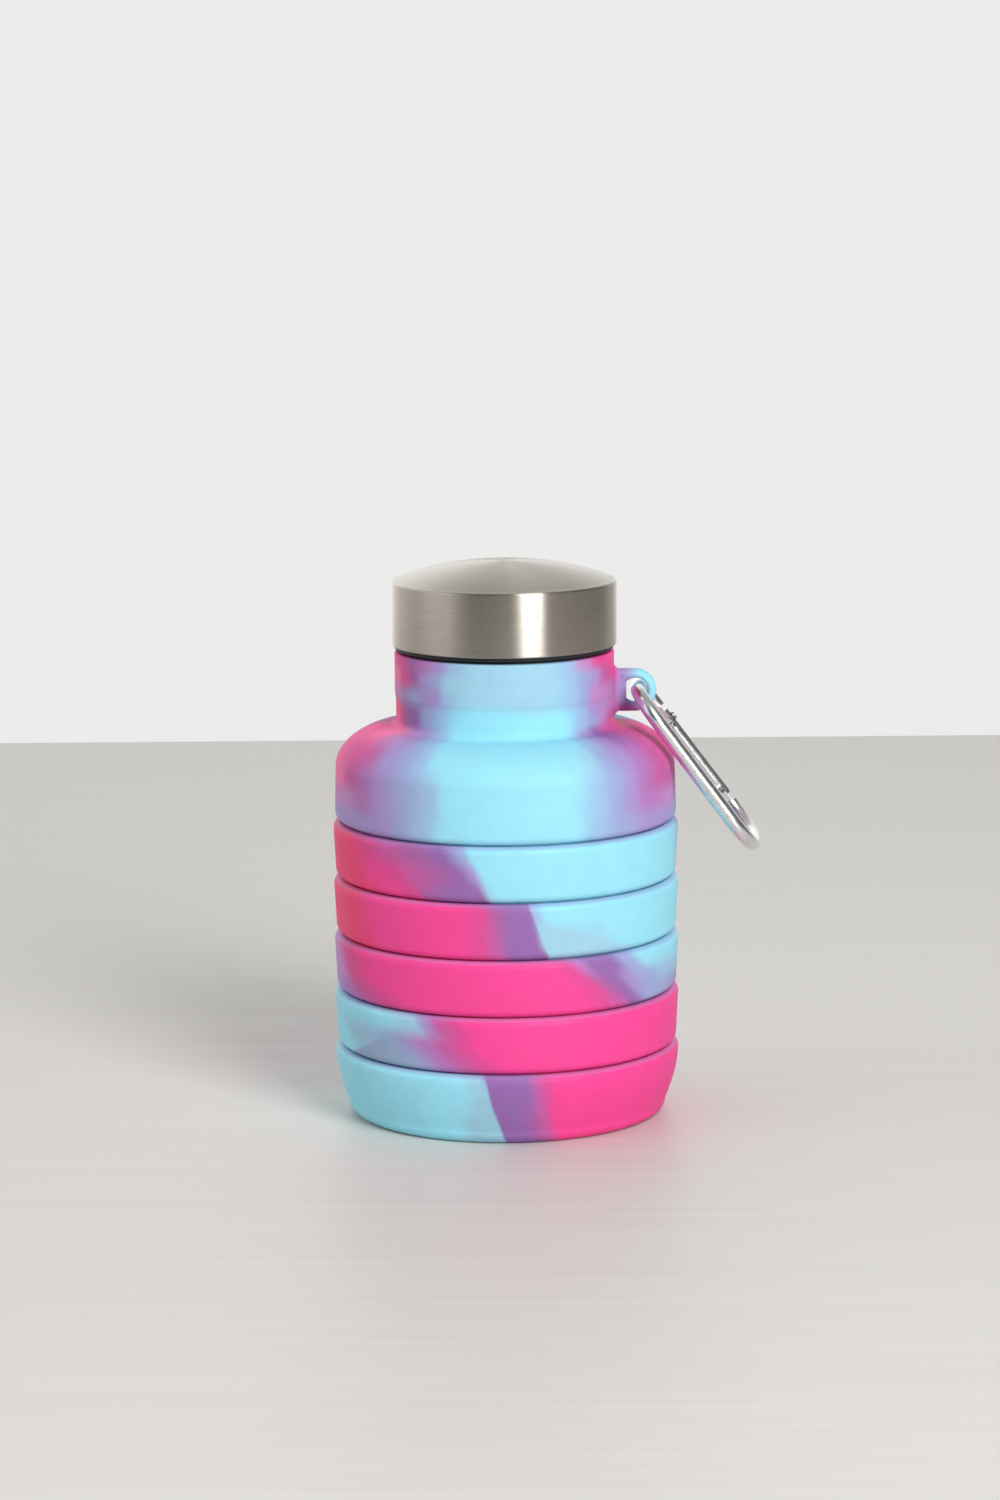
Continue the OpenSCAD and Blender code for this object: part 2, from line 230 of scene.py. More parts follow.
def shoulder_outline():
    rim = RIMS[-1]
    fillet = (NECK_LOW_R + NECK_FILLET, SHOULDER_TOP_Z + NECK_FILLET)
    lip = 0.5
    return (
        [(NECK_BORE_R, NECK_TOP_Z)]
        + arc((NECK_R - lip, NECK_TOP_Z - lip), lip, 90, 0, 8)
        + neck_step()
        + arc(fillet, NECK_FILLET, 180, 270, 12)
        + crown(SHOULDER_WALL_R - CROWN_R, CROWN_H, 90, 0)[1:]
        + [(FOOT_R, rim + SHOULDER_FOOT_H)]
        + ring_foot(rim, FOOT_R, SHOULDER_IN_R)
        + crown(SHOULDER_IN_R - CROWN_R, CROWN_H - CROWN_T, 0, 90, 20)
        + [(NECK_BORE_R, SHOULDER_TOP_Z - CROWN_T)]
    )


def web_outline(level, steps=24):
    rim = RIMS[level]
    outer = WALL_IN - SEAM_GAP
    half = WEB_T / 2
    ends = {side: fold_at_r(outer, side * half) for side in (1, -1)}
    up = [fold_point(rim, WEB_FROM + (ends[-1] - WEB_FROM) * i / steps, -half) for i in range(steps + 1)]
    down = [fold_point(rim, ends[1] + (WEB_FROM - ends[1]) * i / steps, half) for i in range(steps + 1)]
    return up + down


def dome(edge_r, edge_z, rise, outward, steps=30):
    radii = [edge_r * i / steps for i in range(steps + 1)]
    points = [(r, edge_z + rise * (1 - (r / edge_r) ** DOME_N)) for r in radii]
    return points if outward else points[::-1]


def shell_outline():
    side_z = CAP_FOOT_Z + CAP_SIDE_H
    edge_r, edge_z = CAP_R - CAP_EDGE_R, side_z + CAP_EDGE_R
    rise = CAP_TOP_Z - edge_z
    hem, inside_drop = CAP_T / 2, 0.2
    return (
        arc((CAP_R - hem, CAP_FOOT_Z + hem), hem, 180, 360, 10)
        + arc((edge_r, side_z), CAP_EDGE_R, 0, 80, 10)
        + dome(edge_r, edge_z, rise, False)
        + dome(edge_r - CAP_T, edge_z - CAP_T, rise, True)
        + [(CAP_R - CAP_T, side_z - inside_drop)]
    )


def liner_outline():
    roof_z = LINER_TOP_Z - LINER_ROOF_T
    foot, cove = 0.35, 0.8
    return (
        [(0, roof_z)]
        + arc((LINER_BORE_R - cove, roof_z - cove), cove, 90, 0, 6)
        + arc((LINER_BORE_R + foot, LINER_FOOT_Z + foot), foot, 180, 270, 5)
        + arc((LINER_R - foot, LINER_FOOT_Z + foot), foot, 270, 360, 5)
        + [(LINER_R, LINER_TOP_Z), (0, LINER_TOP_Z)]
    )


def insert_outline():
    flange_r, flange_t, lip, chamfer = 23.4, 2.0, 0.5, 0.3
    outer = NECK_BORE_R - SEAM_GAP
    flange_z = INSERT_FOOT_Z + flange_t
    return (
        arc((MOUTH_R + lip, INSERT_FOOT_Z + lip), lip, 180, 270, 5)
        + [(flange_r, INSERT_FOOT_Z), (flange_r, flange_z), (outer, flange_z), (outer, STEP_Z)]
        + [(THREAD_ROOT_R + chamfer, STEP_Z), (THREAD_ROOT_R, STEP_Z + chamfer)]
        + arc((THREAD_ROOT_R - lip, LIP_Z - lip), lip, 0, 90, 6)
        + arc((MOUTH_R + lip, LIP_Z - lip), lip, 90, 180, 6)
    )


def seal_outline():
    lowest, highest = low("cap_seal").z, high("cap_seal").z
    outer, inner, edge = high("cap_seal").x, 15.2, 0.3
    return (
        arc((inner + edge, lowest + edge), edge, 180, 270, 5)
        + arc((outer - edge, lowest + edge), edge, 270, 360, 5)
        + arc((outer - edge, highest - edge), edge, 0, 90, 5)
        + arc((inner + edge, highest - edge), edge, 90, 180, 5)
    )


# ---------------------------------------------------------------- meshes

SHARP_ANGLE = 38


def smooth_but_sharp(mesh):
    mesh.shade_smooth()
    mesh.set_sharp_from_angle(angle=math.radians(SHARP_ANGLE))


def make_object(name, vertices, faces):
    mesh = bpy.data.meshes.new(name)
    mesh.from_pydata([Vector(v) * MM for v in vertices], [], faces)
    smooth_but_sharp(mesh)
    obj = bpy.data.objects.new(name, mesh)
    bpy.context.scene.collection.objects.link(obj)
    return obj


def revolved(outline, segments=240):
    """Vertices and faces of a closed outline turned about Z. A point on the axis becomes one vertex."""
    vertices, rows = [], []
    for r, z in outline:
        if r < 1e-6:
            rows.append([len(vertices)] * segments)
            vertices.append((0, 0, z))
            continue
        rows.append(list(range(len(vertices), len(vertices) + segments)))
        for k in range(segments):
            a = 2 * math.pi * k / segments
            vertices.append((r * math.sin(a), -r * math.cos(a), z))
    faces = []
    for row, above in zip(rows, rows[1:] + rows[:1]):
        for k in range(segments):
            j = (k + 1) % segments
            corners = list(dict.fromkeys([row[k], row[j], above[j], above[k]]))
            if len(corners) > 2:
                faces.append(corners)
    return vertices, faces


def turn_outwards(obj):
    """Points every face outwards, whichever way round its outline was written."""
    bpy.context.view_layer.objects.active = obj
    obj.select_set(True)
    bpy.ops.object.mode_set(mode="EDIT")
    bpy.ops.mesh.select_all(action="SELECT")
    bpy.ops.mesh.normals_make_consistent(inside=False)
    bpy.ops.object.mode_set(mode="OBJECT")
    obj.select_set(False)


def revolve(name, outline):
    obj = make_object(name, *revolved(outline))
    turn_outwards(obj)
    return obj


def join_solids(whole, added):
    """Unites two closed meshes into the first, and removes the second."""
    turn_outwards(added)
    union = whole.modifiers.new("union", "BOOLEAN")
    union.operation = "UNION"
    union.solver = "EXACT"
    union.object = added
    shown = whole.evaluated_get(bpy.context.evaluated_depsgraph_get())
    mesh = bpy.data.meshes.new_from_object(shown)
    whole.modifiers.clear()
    whole.data = mesh
    smooth_but_sharp(mesh)
    bpy.data.objects.remove(added)


def root_flare(depth):
    """How much a face swells where it meets the neck: a quarter round of the fillet's radius."""
    fillet = 1.1
    if depth >= fillet:
        return 0.0
    d = max(depth, 0.0)
    return fillet - math.sqrt(fillet**2 - (fillet - d) ** 2)


def loop_outline(count):
    """The loop's outline seen from the front, anticlockwise from the lower end of its root."""
    root_x = NECK_LOW_R - 1.0
    span = LOOP_X - root_x
    half_turn = math.pi * LOOP_R
    total = 2 * span + half_turn
    points = []
    for i in range(count):
        s = total * i / (count - 1)
        if s < span:
            x, z = root_x + s, -LOOP_R
        elif s < span + half_turn:
            a = (s - span) / LOOP_R - math.pi / 2
            x, z = LOOP_X + LOOP_R * math.cos(a), LOOP_R * math.sin(a)
        else:
            x, z = LOOP_X - (s - span - half_turn), LOOP_R
        z += math.copysign(root_flare(x - NECK_LOW_R), z)
        points.append((x, z))
    return points


def loop_thickness(x, from_edge, from_hole):
    """Half the loop's thickness: rounded at its rim and at the hole, and swollen at its root."""
    edge, lip = 1.15, 0.9
    half = LOOP_T / 2
    y = half
    if from_edge < edge:
        y = half - edge + math.sqrt(edge**2 - (edge - from_edge) ** 2)
    if from_hole < lip:
        y = min(y, half - lip + math.sqrt(lip**2 - (lip - from_hole) ** 2))
    return y + root_flare(x - NECK_LOW_R)


def make_loop(name):
    """The loop with its hole: rows of points from its rim in to the hole, over the front and the back."""
    around = 120
    rim = loop_outline(around)
    shares = [0, 0.006, 0.025, 0.06, 0.11, 0.18, 0.27, 0.4, 0.55]
    shares += [0.68, 0.78, 0.86, 0.92, 0.96, 0.985, 0.996, 1]
    vertices, rows = [], []

    def add_row(share, side):
        row = []
        for x, z in rim:
            d = math.hypot(x - LOOP_X, z)
            hole = (LOOP_X + (x - LOOP_X) * LOOP_HOLE_R / d, z * LOOP_HOLE_R / d)
            px, pz = x + (hole[0] - x) * share, z + (hole[1] - z) * share
            gap = d - LOOP_HOLE_R
            y = loop_thickness(px, gap * share, gap * (1 - share))
            row.append(len(vertices))
            vertices.append((px, side * y, LOOP_Z + pz))
        rows.append(row)

    for share in shares:
        add_row(share, -1)
    for share in reversed(shares):
        add_row(share, 1)
    faces = []
    for row, after in zip(rows, rows[1:] + rows[:1]):
        for k in range(around):
            j = (k + 1) % around
            faces.append([row[k], row[j], after[j], after[k]])
    return make_object(name, vertices, faces)


def make_thread(name, root_r, crest_r, start_z, turns):
    """A helical ridge of rounded section, sunk a little into its wall, that fades out at its ends."""
    steps_per_turn, across = 96, 10
    steps = int(turns * steps_per_turn)
    fade = steps_per_turn / 8
    half_base, sunk = 0.78, 0.25
    inward = math.copysign(sunk, root_r - crest_r)
    vertices = []
    for i in range(steps + 1):
        a = 2 * math.pi * i / steps_per_turn
        z = start_z + THREAD_PITCH * i / steps_per_turn
        k = min(1.0, (i + 0.5) / fade, (steps - i + 0.5) / fade)
        height = (crest_r - root_r) * math.sin(k * math.pi / 2)
        for j in range(across + 1):
            t = 2 * j / across - 1
            r = root_r + height * (1 - abs(t) ** 3)
            if j in (0, across):
                r = root_r + inward
            vertices.append((r * math.cos(a), r * math.sin(a), z + t * half_base))
    row = across + 1
    faces = [list(range(row)), [steps * row + j for j in reversed(range(row))]]
    for i in range(steps):
        for j in range(row):
            n = (j + 1) % row
            faces.append([i * row + j, (i + 1) * row + j, (i + 1) * row + n, i * row + n])
    return make_object(name, vertices, faces)


# ---------------------------------------------------------------- node graphs


def linear(colour):
    """The linear value of an 8-bit sRGB colour."""
    out = []
    for c in colour:
        c = c / 255
        out.append(c / 12.92 if c <= 0.04045 else ((c + 0.055) / 1.055) ** 2.4)
    return tuple(out)


class Nodes:
    """Short calls that add a node to a tree and give its output."""

    def __init__(self, tree, place):
        self.tree = tree
        self.tree.nodes.clear()
        self.place = self.add("TexCoord").outputs[place]

    def set(self, node, key, value):
        socket = node.inputs[key]
        if isinstance(value, bpy.types.NodeSocket):
            self.tree.links.new(value, socket)
        else:
            socket.default_value = value

    def add(self, kind, inputs=None, **properties):
        node = self.tree.nodes.new("ShaderNode" + kind)
        for key, value in properties.items():
            setattr(node, key, value)
        for key, value in (inputs or {}).items():
            self.set(node, key, value)
        return node

    def math(self, operation, a, b=0.0, c=0.0):
        node = self.add("Math", {0: a, 1: b, 2: c}, operation=operation)
        return node.outputs[0]

    def span(self, value, start, end, to_start=0.0, to_end=1.0):
        inputs = {"Value": value, "From Min": start, "From Max": end, "To Min": to_start, "To Max": to_end}
        return self.add("MapRange", inputs, interpolation_type="SMOOTHSTEP").outputs["Result"]

    def noise(self, scale, detail=2.0, rough=0.5, vector=None, seed=0.0):
        inputs = {"Vector": vector or self.place, "W": seed, "Scale": scale}
        inputs.update({"Detail": detail, "Roughness": rough})
        return self.add("TexNoise", inputs, noise_dimensions="4D").outputs["Fac"]

    def specks(self, scale, size, share, vector=None):
        """Small round dots, one in the given share of cells."""
        cells = self.add("TexVoronoi", {"Vector": vector or self.place, "Scale": scale, "Randomness": 1.0})
        near = self.span(cells.outputs["Distance"], size, size * 0.5)
        chosen = self.add("SeparateColor", {"Color": cells.outputs["Color"]}).outputs[0]
        return self.math("MULTIPLY", near, self.math("LESS_THAN", chosen, share))

    def mix(self, factor, a, b, blend="MIX"):
        node = self.add("Mix", data_type="RGBA", blend_type=blend, clamp_factor=True)
        for index, value in ((0, factor), (6, a), (7, b)):
            if isinstance(value, tuple):
                value = (*value, 1.0)[:4]
            self.set(node, index, value)
        return node.outputs[2]

    def ramp(self, factor, stops, easing="EASE"):
        node = self.add("ValToRGB", {"Fac": factor})
        node.color_ramp.interpolation = easing
        elements = node.color_ramp.elements
        while len(elements) > 1:
            elements.remove(elements[-1])
        for index, (at, colour) in enumerate(stops):
            element = elements[0] if index == 0 else elements.new(at)
            element.position = at
            element.color = (*colour, 1.0)
        return node.outputs["Color"]

    def split(self, vector=None):
        return self.add("SeparateXYZ", {"Vector": vector or self.place}).outputs

    def join(self, x, y, z):
        return self.add("CombineXYZ", {"X": x, "Y": y, "Z": z}).outputs["Vector"]

    def radius(self):
        x, y, _ = self.split()
        return self.math("SQRT", self.math("ADD", self.math("MULTIPLY", x, x), self.math("MULTIPLY", y, y)))

    def bump(self, height, depth, normal=None):
        inputs = {"Height": height, "Distance": depth, "Strength": 1.0}
        if normal is not None:
            inputs["Normal"] = normal
        return self.add("Bump", inputs).outputs["Normal"]


class Finish(Nodes):
    """A material with a Principled shader. The shader's own values are given by name."""

    def __init__(self, name, **shader):
        self.material = bpy.data.materials.new(name)
        self.material.use_nodes = True
        super().__init__(self.material.node_tree, "Object")
        output = self.tree.nodes.new("ShaderNodeOutputMaterial")
        self.shader = self.tree.nodes.new("ShaderNodeBsdfPrincipled")
        self.tree.links.new(self.shader.outputs[0], output.inputs[0])
        for key, value in shader.items():
            self.set(self.shader, key.replace("_", " ").title().replace("Ior", "IOR"), value)


# ---------------------------------------------------------------- silicone

# Colours of the marbled silicone as they look in full light, and how bright that light is
LIGHT = 1.13
DRIFT = 7.0  # how far noise shifts the colours round the body, in degrees
SWELL = 3.0  # and how far up and down it, in mm
PINK = (255, 75, 159)
SCARLET = (255, 72, 128)
CORAL = (255, 80, 138)
BLUSH = (255, 120, 178)
ROSE = (233, 80, 157)
MAGENTA = (208, 98, 172)
GRAPE = (178, 103, 172)
PURPLE = (157, 110, 181)
MAUVE = (190, 125, 196)
ORCHID = (204, 145, 208)
LILAC = (176, 155, 215)
PERI = (163, 176, 224)
SKY = (164, 199, 236)
MIST = (159, 207, 230)
HAZE = (166, 215, 239)
FROST = (163, 212, 233)
SLATE = (156, 180, 212)
CYAN = (160, 234, 254)


def albedo(colour):
    return tuple(c / LIGHT for c in linear(colour))


def wedge(g, azimuth, rise, start, end):
    """1 between two lines that slant over the wall. A line is its azimuth half way up the piece, its
    degrees per mm of height, and how many degrees its edge takes to fade."""
    sides = []
    for (at, slant, fade), sign in ((start, 1), (end, -1)):
        past = g.math("SUBTRACT", azimuth, g.math("MULTIPLY", rise, slant / MM))
        sides.append(g.span(past, at - sign * fade / 2, at + sign * fade / 2))
    return g.math("MULTIPLY", *sides)


def loop_colours(g, colour, x, z):
    """The loop turns from the neck's colours through lilac to cyan, and its underside is purple."""
    beyond_neck = g.span(g.radius(), NECK_R * MM, (NECK_R + 1.4) * MM)
    above_crown = g.span(z, (SHOULDER_TOP_Z + 1.7) * MM, (SHOULDER_TOP_Z + 2.3) * MM)
    far = g.span(x, (LOOP_X - 2.6) * MM, (LOOP_X + 1.2) * MM)
    under = g.span(z, (LOOP_Z - 1.6) * MM, (LOOP_Z - 3.4) * MM)
    near_under = g.math("MULTIPLY", under, g.span(x, (LOOP_X + 2.0) * MM, LOOP_X * MM))
    loop = g.mix(far, albedo(LILAC), albedo(CYAN))
    loop = g.mix(near_under, loop, albedo(GRAPE))
    return g.mix(g.math("MULTIPLY", beyond_neck, above_crown), colour, loop)


def add_wear(g, colour):
    """Faint mottling, a little dust, pits, and a fine grain."""
    mottle = g.span(g.noise(260, 4, 0.6, seed=5.0), 0.3, 0.7, 0.975, 1.02)
    colour = g.mix(1.0, colour, g.join(mottle, mottle, mottle), "MULTIPLY")
    dust = g.specks(420, 0.055, 0.05)
    shifted = g.add("Mapping", {"Vector": g.place, "Location": (0.31, 0.17, 0.23)}).outputs[0]
    pit = g.specks(300, 0.06, 0.05, shifted)
    colour = g.mix(g.math("MULTIPLY", pit, 0.3), colour, (0.05, 0.05, 0.08))
    colour = g.mix(g.math("MULTIPLY", dust, 0.35), colour, (0.8, 0.8, 0.82))
    g.set(g.shader, "Base Color", colour)
    gloss = g.noise(140, 3, 0.6, seed=7.0)
    g.set(g.shader, "Roughness", g.span(gloss, 0.25, 0.75, 0.48, 0.58))
    grain = g.math("ADD", g.noise(3200, 2, 0.6), g.math("MULTIPLY", g.noise(500, 2, 0.5), 1.5))
    normal = g.bump(grain, 0.000012)
    g.set(g.shader, "Normal", g.bump(g.math("SUBTRACT", dust, pit), 0.00004, normal))


def marbled(name, layers, slant=0.0, wedges=(), rim=None, has_loop=False):
    """Silicone of swirled colours. Each layer is a height in mm and its colours round the body, as stops
    of (azimuth in degrees, colour) with 0 at the front and 90 at the loop. Slant is degrees per mm of
    height. A painted lilac highlight edges the rim, whose height is in metres."""
    g = Finish(name, specular_ior_level=0.25, subsurface_weight=0.08, subsurface_scale=0.002)
    g.set(g.shader, "Subsurface Radius", (1.0, 0.6, 0.7))
    x, y, z = g.split()
    turn = g.math("ARCTAN2", x, g.math("MULTIPLY", y, -1.0))
    drift = g.math("MULTIPLY", g.math("SUBTRACT", g.noise(48, 2, 0.5), 0.5), DRIFT)
    azimuth = g.math("ADD", g.math("MULTIPLY", turn, 180 / math.pi), drift)
    middle = (layers[0][0] + layers[-1][0]) / 2
    rise = g.math("SUBTRACT", z, middle * MM)
    lean = g.math("MULTIPLY", rise, slant / MM)
    around = g.math("FRACT", g.math("ADD", g.math("DIVIDE", g.math("ADD", azimuth, lean), 360.0), 0.5))
    swell = g.math("MULTIPLY", g.math("SUBTRACT", g.noise(70, 2, 0.5, seed=3.0), 0.5), SWELL * MM)
    height = g.math("ADD", z, swell)
    colour = None
    for index, (level, stops) in enumerate(layers):
        layer = g.ramp(around, [((at + 180) / 360, albedo(shade)) for at, shade in stops])
        if colour is None:
            colour = layer
            continue
        below = layers[index - 1][0]
        colour = g.mix(g.span(height, below * MM, level * MM), colour, layer)
    for start, end, shade in wedges:
        colour = g.mix(wedge(g, azimuth, rise, start, end), colour, albedo(shade))
    # Painted highlight: a lilac band just under the rim's top, where the rounded rim catches overhead light.
    if rim is not None:
        top = g.span(z, rim - 0.75 * MM, rim - 0.3 * MM, 0.0, 0.4)
        colour = g.mix(top, colour, albedo(LILAC))
    if has_loop:
        colour = loop_colours(g, colour, x, z)
    add_wear(g, colour)
    return g.material


BASE_LEFT = [(-180, PINK), (-160, ROSE), (-146, GRAPE), (-130, LILAC), (-112, CYAN)]
BASE_RIGHT = [(110, PINK), (135, ROSE), (180, PINK)]
BASE_COLOURS = [
    (3.5, BASE_LEFT + [
        (-50, CYAN), (-22, CYAN), (-11, HAZE), (-7, PERI), (-6, PURPLE), (3, PURPLE), (7, GRAPE),
        (11, MAGENTA), (15.5, PINK),
    ] + BASE_RIGHT),
    (12.0, BASE_LEFT + [
        (-15, CYAN), (-7, HAZE), (-6, SKY), (-4, PURPLE), (8, PURPLE), (12, MAGENTA), (15, ROSE),
        (18, PINK),
    ] + BASE_RIGHT),
]
BASE_WEDGES = [((-11, 0.5, 5), (-4.5, -0.5, 1.5), FROST)]

RING_4_LEFT = [(-180, PURPLE), (-150, LILAC), (-120, HAZE), (-72, CYAN)]
RING_4_RIGHT = [(95, PINK), (130, ROSE), (160, MAGENTA), (180, PURPLE)]
RING_4_COLOURS = [
    (16.0, RING_4_LEFT + [
        (-60, HAZE), (-50, PERI), (-36, PERI), (-31, LILAC), (-26, MAUVE), (-19, MAGENTA), (-12, ROSE),
        (-6, PINK),
    ] + RING_4_RIGHT),
    (20.0, RING_4_LEFT + [
        (-62, MIST), (-50, SKY), (-42, PERI), (-34, LILAC), (-27, MAUVE), (-20, MAGENTA), (-14, ROSE),
        (-8, PINK),
    ] + RING_4_RIGHT),
    (24.0, RING_4_LEFT + [
        (-42, CYAN), (-26, HAZE), (-21, LILAC), (-16, MAGENTA), (-10, ROSE), (-6, PINK),
    ] + RING_4_RIGHT),
]
RING_4_WEDGES = [((-47, 3.8, 4), (-40, -1.5, 14), SLATE)]

RING_3_LEFT = [(-180, CYAN), (-150, SKY), (-120, LILAC)]
RING_3_RIGHT = [(115, PERI), (140, LILAC), (180, CYAN)]
RING_3_COLOURS = [
    (27.5, RING_3_LEFT + [
        (-85, LILAC), (-72, MAUVE), (-62, MAGENTA), (-50, ROSE), (-39, PINK), (18, PINK), (26, ROSE),
        (33, MAGENTA), (40, PURPLE), (48, PERI), (56, PERI), (70, LILAC),
    ] + RING_3_RIGHT),
    (31.5, RING_3_LEFT + [
        (-74, ORCHID), (-62, ROSE), (-50, PINK), (20, PINK), (29, ROSE), (35, GRAPE), (40, PURPLE),
        (46, LILAC), (54, PERI), (66, SKY), (82, HAZE),
    ] + RING_3_RIGHT),
    (35.5, RING_3_LEFT + [
        (-72, ORCHID), (-58, ROSE), (-47, PINK), (22, PINK), (28, ROSE), (33, MAUVE), (37, PURPLE),
        (44, PURPLE), (52, PERI), (60, CYAN), (90, CYAN),
    ] + RING_3_RIGHT),
]

RING_2_LEFT = [(-180, PURPLE), (-160, GRAPE), (-135, PINK)]
RING_2_RIGHT = [(100, CYAN), (130, HAZE), (155, LILAC), (180, PURPLE)]
RING_2_COLOURS = [
    (38.4, RING_2_LEFT + [
        (-78, SCARLET), (-62, SCARLET), (-45, PINK), (-18, PINK), (-10, ROSE), (-5, MAGENTA), (1, PURPLE),
        (16, PURPLE), (26, LILAC), (38, HAZE), (50, CYAN),
    ] + RING_2_RIGHT),
    (40.6, RING_2_LEFT + [
        (-78, SCARLET), (-62, SCARLET), (-45, PINK), (-18, PINK), (-10, ROSE), (-5, MAGENTA), (1, PURPLE),
        (10, PURPLE), (13, HAZE), (26, HAZE), (44, CYAN),
    ] + RING_2_RIGHT),
    (47.0, RING_2_LEFT + [
        (-78, SCARLET), (-58, SCARLET), (-45, PINK), (-14, PINK), (-6, ROSE), (0, GRAPE), (5, PURPLE),
        (11, PURPLE), (13, SKY), (17, CYAN),
    ] + RING_2_RIGHT),
]
RING_2_WEDGES = [((12, -0.5, 1.5), (24, -4.6, 9), HAZE)]

RING_1_LEFT = [(-180, LILAC), (-150, PURPLE), (-120, MAGENTA), (-98, ROSE)]
RING_1_RIGHT = [(70, CYAN), (95, SKY), (115, LILAC), (140, PURPLE), (160, GRAPE), (180, LILAC)]
RING_1_COLOURS = [
    (50.5, RING_1_LEFT + [
        (-78, SCARLET), (-60, SCARLET), (-45, PINK), (-36, ROSE), (-30, GRAPE), (-24, PURPLE),
        (-11, PURPLE), (-8.5, HAZE), (-5, CYAN),
    ] + RING_1_RIGHT),
    (54.5, RING_1_LEFT + [
        (-78, SCARLET), (-60, SCARLET), (-50, PINK), (-40, ROSE), (-31, MAGENTA), (-21, GRAPE),
        (-15, PURPLE), (-10, LILAC), (-7, CYAN),
    ] + RING_1_RIGHT),
    (58.5, RING_1_LEFT + [
        (-78, SCARLET), (-60, SCARLET), (-48, ROSE), (-38, MAGENTA), (-28, GRAPE), (-18, PURPLE),
        (-11, PERI), (-7, CYAN),
    ] + RING_1_RIGHT),
]

SHOULDER_COLOURS = [
    (63.0, [
        (-180, HAZE), (-150, CYAN), (-125, SKY), (-100, LILAC), (-75, LILAC), (-55, LILAC), (-44, LILAC),
        (-37, PERI), (-29, SKY), (-21, CYAN), (22, CYAN), (31, SKY), (40, PERI), (56, LILAC), (68, LILAC),
        (80, PERI), (110, SKY), (140, CYAN), (180, HAZE),
    ]),
    (67.0, [
        (-180, CYAN), (-150, HAZE), (-125, LILAC), (-98, MAGENTA), (-66, ORCHID), (-55, MAUVE),
        (-45, LILAC), (-37, PERI), (-27, SKY), (-20, CYAN), (21, CYAN), (32, SKY), (39, PERI), (46, LILAC),
        (56, MAUVE), (75, ORCHID), (95, MAGENTA), (115, LILAC), (140, SKY), (180, CYAN),
    ]),
    (71.0, [
        (-180, CYAN), (-150, HAZE), (-125, LILAC), (-98, ROSE), (-75, BLUSH), (-63, MAGENTA), (-55, MAUVE),
        (-46, LILAC), (-37, PERI), (-27, SKY), (-20, CYAN), (21, CYAN), (32, SKY), (40, PERI), (46, LILAC),
        (54, MAUVE), (64, MAGENTA), (80, MAGENTA), (95, ROSE), (115, LILAC), (140, SKY), (180, CYAN),
    ]),
    (77.0, [
        (-180, CYAN), (-145, SKY), (-125, LILAC), (-108, MAGENTA), (-88, PINK), (-68, ROSE), (-58, MAGENTA),
        (-46, LILAC), (-38, PERI), (-32, SKY), (-26, CYAN), (26, CYAN), (32, HAZE), (38, PERI), (45, LILAC),
        (55, MAUVE), (65, MAGENTA), (76, ROSE), (92, PINK), (102, ROSE), (110, SKY), (130, CYAN),
        (180, CYAN),
    ]),
    (80.0, [
        (-180, CYAN), (-145, SKY), (-125, LILAC), (-108, MAGENTA), (-88, PINK), (-68, BLUSH), (-56, ORCHID),
        (-46, LILAC), (-34, SKY), (-26, CYAN), (31, CYAN), (38, SKY), (45, LILAC), (54, PURPLE),
        (64, MAGENTA), (78, ROSE), (92, PINK), (100, ROSE), (106, SKY), (130, CYAN), (180, CYAN),
    ]),
    (82.0, [
        (-180, CYAN), (-140, SKY), (-120, PURPLE), (-100, ROSE), (-76, PINK), (-66, GRAPE), (-55, PURPLE),
        (-46, PERI), (-38, SKY), (-27, CYAN), (34, CYAN), (45, SKY), (55, PERI), (64, ORCHID),
        (75, MAGENTA), (100, MAGENTA), (120, LILAC), (145, SKY), (180, CYAN),
    ]),
    (84.0, [
        (-180, CYAN), (-140, SKY), (-120, PURPLE), (-100, ROSE), (-76, CORAL), (-66, GRAPE), (-56, PURPLE),
        (-45, PERI), (-36, SKY), (-24, CYAN), (34, CYAN), (45, SKY), (55, LILAC), (72, ORCHID),
        (100, MAGENTA), (120, LILAC), (145, SKY), (180, CYAN),
    ]),
    (87.0, [
        (-180, HAZE), (-140, PERI), (-115, PURPLE), (-92, ROSE), (-76, ORCHID), (-64, LILAC), (-55, PERI),
        (-46, LILAC), (-38, LILAC), (-32, SKY), (-22, HAZE), (28, HAZE), (39, SKY), (46, PERI),
        (55, ORCHID), (78, ORCHID), (92, MAGENTA), (120, LILAC), (145, SKY), (180, HAZE),
    ]),
    (91.0, [
        (-180, HAZE), (-145, LILAC), (-115, MAGENTA), (-90, PINK), (-76, BLUSH), (-65, ROSE), (-55, GRAPE),
        (-46, LILAC), (-38, PERI), (-30, HAZE), (28, HAZE), (38, SKY), (46, PERI), (56, LILAC),
        (65, MAGENTA), (76, ROSE), (100, PINK), (125, ORCHID), (150, SKY), (180, HAZE),
    ]),
    (94.0, [
        (-180, HAZE), (-145, LILAC), (-115, MAGENTA), (-90, PINK), (-70, ROSE), (-57, GRAPE), (-47, MAUVE),
        (-36, LILAC), (-28, SKY), (-16, HAZE), (24, HAZE), (34, SKY), (46, ORCHID), (58, ROSE), (76, PINK),
        (100, PINK), (125, ORCHID), (150, SKY), (180, HAZE),
    ]),
]

WEB_COLOURS = [
    (0.0, [
        (-180, PURPLE), (-120, PINK), (-80, PURPLE), (-40, PERI), (10, LILAC), (60, CYAN), (130, SKY),
        (180, PURPLE),
    ]),
]


# ---------------------------------------------------------------- other materials


